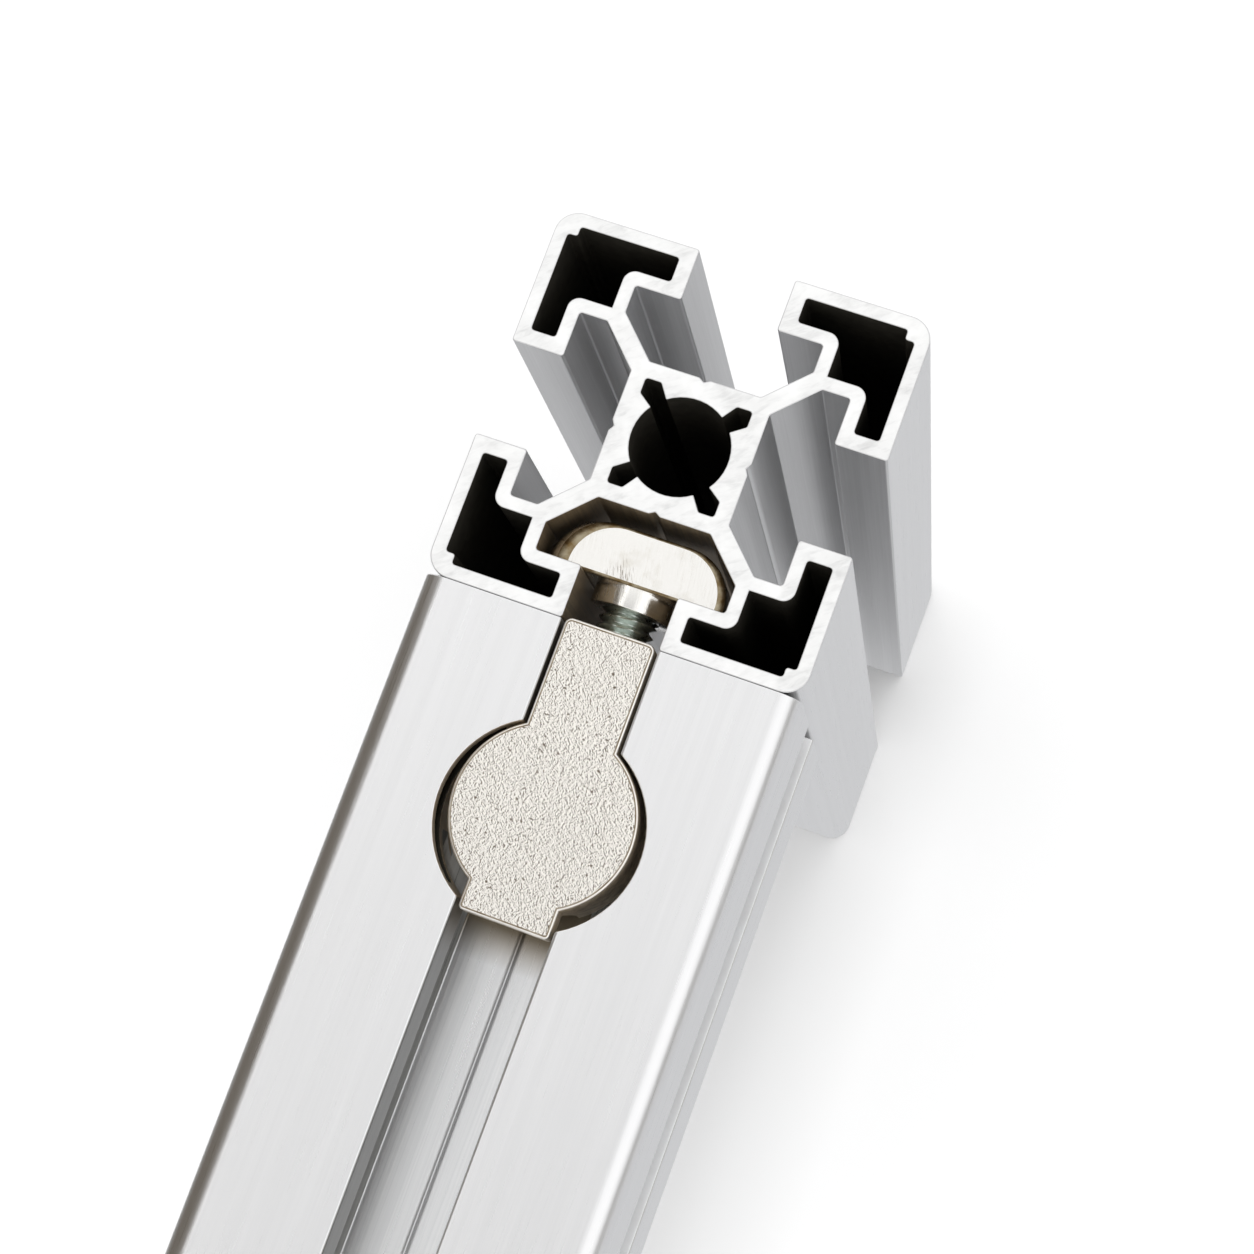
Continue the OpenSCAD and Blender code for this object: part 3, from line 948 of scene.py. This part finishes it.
class BLINDJOINT_OT_profiles(Operator):
    """Finish the post and the rail: sawn ends, anodised faces, painted shade in the chambers and slots,
    painted light on slot floors and lips, painted grey shade on broken edges
    """

    bl_idname = "blindjoint.profiles"
    bl_label = "Finish Profiles"

    def execute(self, context):
        finish = context.scene.blind_joint.profile
        shared = {
            "sawn": sawn_material("Sawn aluminium", finish.sawn, finish.broken),
            # Lip walls: bright matt colour that paints light into the slot mouths
            "lip": spotted_material("Lip wall painted light", finish.lit_slot_floor, finish.anodised, 0.003, 0.7, metallic=0.0),
            "contact_shade": spotted_material("Clamped end painted shade", finish.contact_shade, finish.slot, 0.004, 0.5),
            "hollow": chamber_shade_material("Chamber painted shade", finish.hollow),
            "bored": pocket_shade_material("Bored pocket painted shade", finish.bored),
            "nut_slot_shade": nut_slot_shade_material(finish),
        }
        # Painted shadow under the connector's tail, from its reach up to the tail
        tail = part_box("connector_housing")[0].y
        stain_and_shade = (finish.stain_and_shade, tail - finish.tail_shadow_reach, tail)
        across, lengthwise = 9000, 60
        for node, along, scale in (
            ("post_profile", 2, (across, across, lengthwise)),
            ("rail_profile", 1, (across, lengthwise, across)),
        ):
            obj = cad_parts[node]
            label = node.split("_")[0].title()
            low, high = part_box(node)
            materials = dict(shared)
            materials["outside"] = drawn_material(f"{label} anodised", finish.anodised, scale, 0.045, 0.3)
            slot_scale = [s * 0.45 for s in scale]
            # Slot walls get the darker colour that paints the shade inside the slots
            wall = finish.slot if along == 2 else finish.rail_slot_shade
            materials["slot"] = drawn_material(f"{label} slot", wall, slot_scale, 0.16, 0.36)
            for kind, name, colour, metallic, patch in (
                # The floors take the brighter colour that paints light into the slots
                ("floor", "slot floor", finish.lit_slot_floor, 0.75, None),
                ("tail_shadowed", "floor with tail shadow", finish.lit_slot_floor, 0.75, stain_and_shade),
                ("shaded_web", "shaded_web", finish.shaded_web, 0.5, None),
            ):
                materials[kind] = drawn_material(
                    f"{label} {name}", colour, slot_scale, 0.2, 0.3, metallic, patch
                )
            paint_profile(obj, along, (low + high) / 2, materials)
            soften(obj, finish.edge, 2, 42)
        return {"FINISHED"}


class BLINDJOINT_OT_connector(Operator):
    """Cast the connector housing with its creased skin and rounded edges, with painted light and shade on
    the creases, the edges and the sides
    """

    bl_idname = "blindjoint.connector"
    bl_label = "Cast Connector"

    def execute(self, context):
        finish = context.scene.blind_joint.connector
        # Darker copy of the side colour, for painted shade
        darker_shade = [c * 0.6 for c in finish.side]
        materials = (
            cast_material(finish),
            spotted_material("Dark line inside the edge", finish.dark_line, darker_shade, 0.0015, 0.4),
            # Rounded edges get a painted highlight
            spotted_material("Casting edge painted highlight", finish.rim, finish.cast, 0.0009, 0.3),
            spotted_material("Casting side painted shade", finish.side, darker_shade, 0.0009, 0.4, metallic=0.5),
        )
        seat = SCREW_LOW.y + context.scene.blind_joint.screw.head_h
        piece = housing_piece(finish, materials, seat)
        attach(piece, "connector")
        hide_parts("connector_housing")
        return {"FINISHED"}


class BLINDJOINT_OT_nut(Operator):
    """Make the hammer nut with its collar, plating and rims browned by a painted dark reflection"""

    bl_idname = "blindjoint.nut"
    bl_label = "Make Nut"

    def execute(self, context):
        finish = context.scene.blind_joint.nut
        low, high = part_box("hammer_nut")
        scarred = ((low.x + high.x) / 2 - finish.scar_left, low.y + finish.scar_in, high.z)
        plated = plated_material(finish, scarred)
        # The rims take a painted dark reflection, spotted with the stain colour
        rim = spotted_material("Nut rim painted reflection", finish.rim, finish.stain_and_shade, 0.0012, 0.3)
        piece = nut_piece(finish, (plated, rim, plated))
        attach(piece, "nut")
        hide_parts("hammer_nut")
        return {"FINISHED"}


class BLINDJOINT_OT_screw(Operator):
    """Cut the clamp screw with its helical thread, socket and ridged head"""

    bl_idname = "blindjoint.screw"
    bl_label = "Cut Screw"

    def execute(self, context):
        finish = context.scene.blind_joint.screw
        seat = SCREW_LOW.y + finish.head_h
        mesh = screw_mesh(finish, SCREW_HIGH.y - seat)
        shade(mesh, 40)
        screw = new_piece(mesh, [black_material(finish)])
        screw.matrix_world = Matrix.Translation((0, seat, SCREW_Z)) @ Matrix.Rotation(-math.pi / 2, 4, "X")
        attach(screw, "screw")
        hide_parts("clamp_screw")
        return {"FINISHED"}


class BLINDJOINT_OT_stage(Operator):
    """Set up the floor, the light and the camera"""

    bl_idname = "blindjoint.stage"
    bl_label = "Set Stage"

    def execute(self, context):
        setup = context.scene.blind_joint.stage
        scene = context.scene
        scene.view_settings.view_transform = "Standard"
        self.make_floor(scene, setup)
        self.make_cards(scene, setup)
        self.make_world(scene)
        self.make_lights(scene, setup)
        self.make_camera(scene, setup)
        return {"FINISHED"}

    def make_floor(self, scene, setup):
        floor = self.make_sheet(scene, "floor", setup.floor_w, setup.floor_w)
        floor.location.z = -setup.floor_gap
        material, _, shader = new_material("White floor", 0.0, 0.8)
        shader.inputs["Specular IOR Level"].default_value = 0.0
        shader.inputs["Base Color"].default_value = (*setup.floor, 1)
        floor.data.materials.append(material)

    def make_sheet(self, scene, name, width, height):
        mesh = bpy.data.meshes.new(name)
        bm = bmesh.new()
        bmesh.ops.create_grid(bm, x_segments=1, y_segments=1, size=0.5)
        bm.to_mesh(mesh)
        bm.free()
        mesh.transform(Matrix.Diagonal((width, height, 1, 1)))
        sheet = bpy.data.objects.new(name, mesh)
        scene.collection.objects.link(sheet)
        return sheet

    def make_cards(self, scene, setup):
        """Cards round the object, seen only in its polished faces.

        Each has a colour, which may change along the card to a second one, a size, a place and a turn.
        """
        bright, strip = [setup.softbox] * 3, [setup.strip] * 3
        low, high = setup.flag_low, setup.flag
        near, far = setup.ceiling_near, setup.ceiling_far
        middle = Vector((0, -0.07, TOP))
        for name, colour, second, size, place, turn in (
            ("flag", low, (high, -0.15, -0.05), (0.19, 0.30), (-0.12, -0.003, 0.15 - TOP), (90, 0, 90)),
            ("front", setup.front, None, (2.4, 0.9), (0.2, -0.93, 0.53), (90, 0, 0)),
            ("ceiling", near, (far, -0.3, 0.25), (0.62, 1.1), (-0.08, 0.0, 1.1), (0, 0, 0)),
            ("right softbox", bright, None, (0.6, 1.2), (0.49, 0, 0.52), (0, 42, 0)),
            ("left softbox", strip, None, (0.12, 1.2), (-0.317, 0, 0.62), (0, -27, 0)),
            ("edge flag", setup.edge_flag, None, (1.2, 0.26), (0.6, 0, 0.027), (90, 0, 90)),
            ("floor card", setup.floor_card, None, (0.6, 1.2), (0.2, 0, -0.0001 - TOP), (0, 0, 0)),
        ):
            card = self.make_sheet(scene, name, *size)
            card.location = middle + Vector(place)
            card.rotation_euler = [math.radians(angle) for angle in turn]
            material, tree, shader = new_material(name.title(), 0.0, 1.0)
            shader.inputs["Base Color"].default_value = (0, 0, 0, 1)
            shader.inputs["Specular IOR Level"].default_value = 0.0
            shader.inputs["Emission Strength"].default_value = 1.0
            if second is None:
                shader.inputs["Emission Color"].default_value = (*colour, 1)
            else:
                other, start, end = second
                along = range_node(tree, place_part(tree, "Y"), start, end)
                tree.links.new(blend_node(tree, along, colour, other), shader.inputs["Emission Color"])
            card.data.materials.append(material)
            card.visible_camera = False
            card.visible_diffuse = False
            card.visible_shadow = False

    def make_world(self, scene):
        world = bpy.data.worlds.new("White studio")
        world.use_nodes = True
        around = world.node_tree.nodes["Background"]
        around.inputs["Color"].default_value = (1, 1, 1, 1)
        around.inputs["Strength"].default_value = 1.0
        scene.world = world

    def make_lights(self, scene, setup):
        lamp = bpy.data.lights.new("key", "AREA")
        lamp.energy = setup.key
        lamp.size = 0.25
        key = bpy.data.objects.new("key", lamp)
        target = Vector((0, -0.03, 0.08))
        key.location = (0.0, 0.1, 1.5)
        key.rotation_euler = (target - key.location).to_track_quat("-Z", "Y").to_euler()
        key.visible_glossy = False
        scene.collection.objects.link(key)

    def make_camera(self, scene, setup):
        data = bpy.data.cameras.new("camera")
        data.sensor_width = 36
        data.lens = setup.lens
        data.clip_start = 0.01
        camera = bpy.data.objects.new("camera", data)
        place = Vector((0.046101, -0.056809, TOP + 0.249871))
        right = Vector((0.931602, 0.345024, -0.114352)).normalized()
        back = right.cross(Vector((-0.318958, 0.926852, 0.198019))).normalized()
        turn = Matrix((right, back.cross(right), back)).transposed().to_4x4()
        camera.matrix_world = Matrix.Translation(place) @ turn
        scene.collection.objects.link(camera)
        scene.camera = camera


class BLINDJOINT_PT_panel(Panel):
    """Lists the pieces of the joint"""

    bl_idname = "BLINDJOINT_PT_panel"
    bl_label = "Blind Joint"
    bl_space_type = "VIEW_3D"
    bl_region_type = "UI"
    bl_category = "Blind Joint"

    def draw(self, context):
        joint = context.scene.blind_joint
        for group, operator in (
            (joint.profile, BLINDJOINT_OT_profiles),
            (joint.connector, BLINDJOINT_OT_connector),
            (joint.nut, BLINDJOINT_OT_nut),
            (joint.screw, BLINDJOINT_OT_screw),
            (joint.stage, BLINDJOINT_OT_stage),
        ):
            box = self.layout.box()
            for name in group.__annotations__:
                box.prop(group, name)
            box.operator(operator.bl_idname)


CLASSES = (
    ProfileFinish,
    ConnectorFinish,
    NutFinish,
    ScrewFinish,
    StageSetup,
    BlindJoint,
    BLINDJOINT_OT_profiles,
    BLINDJOINT_OT_connector,
    BLINDJOINT_OT_nut,
    BLINDJOINT_OT_screw,
    BLINDJOINT_OT_stage,
    BLINDJOINT_PT_panel,
)


def register():
    for cls in CLASSES:
        bpy.utils.register_class(cls)
    bpy.types.Scene.blind_joint = PointerProperty(type=BlindJoint)


def unregister():
    del bpy.types.Scene.blind_joint
    for cls in reversed(CLASSES):
        bpy.utils.unregister_class(cls)


def main():
    register()
    bpy.ops.blindjoint.profiles()
    bpy.ops.blindjoint.connector()
    bpy.ops.blindjoint.nut()
    bpy.ops.blindjoint.screw()
    bpy.ops.blindjoint.stage()


if __name__ == "__main__":
    main()
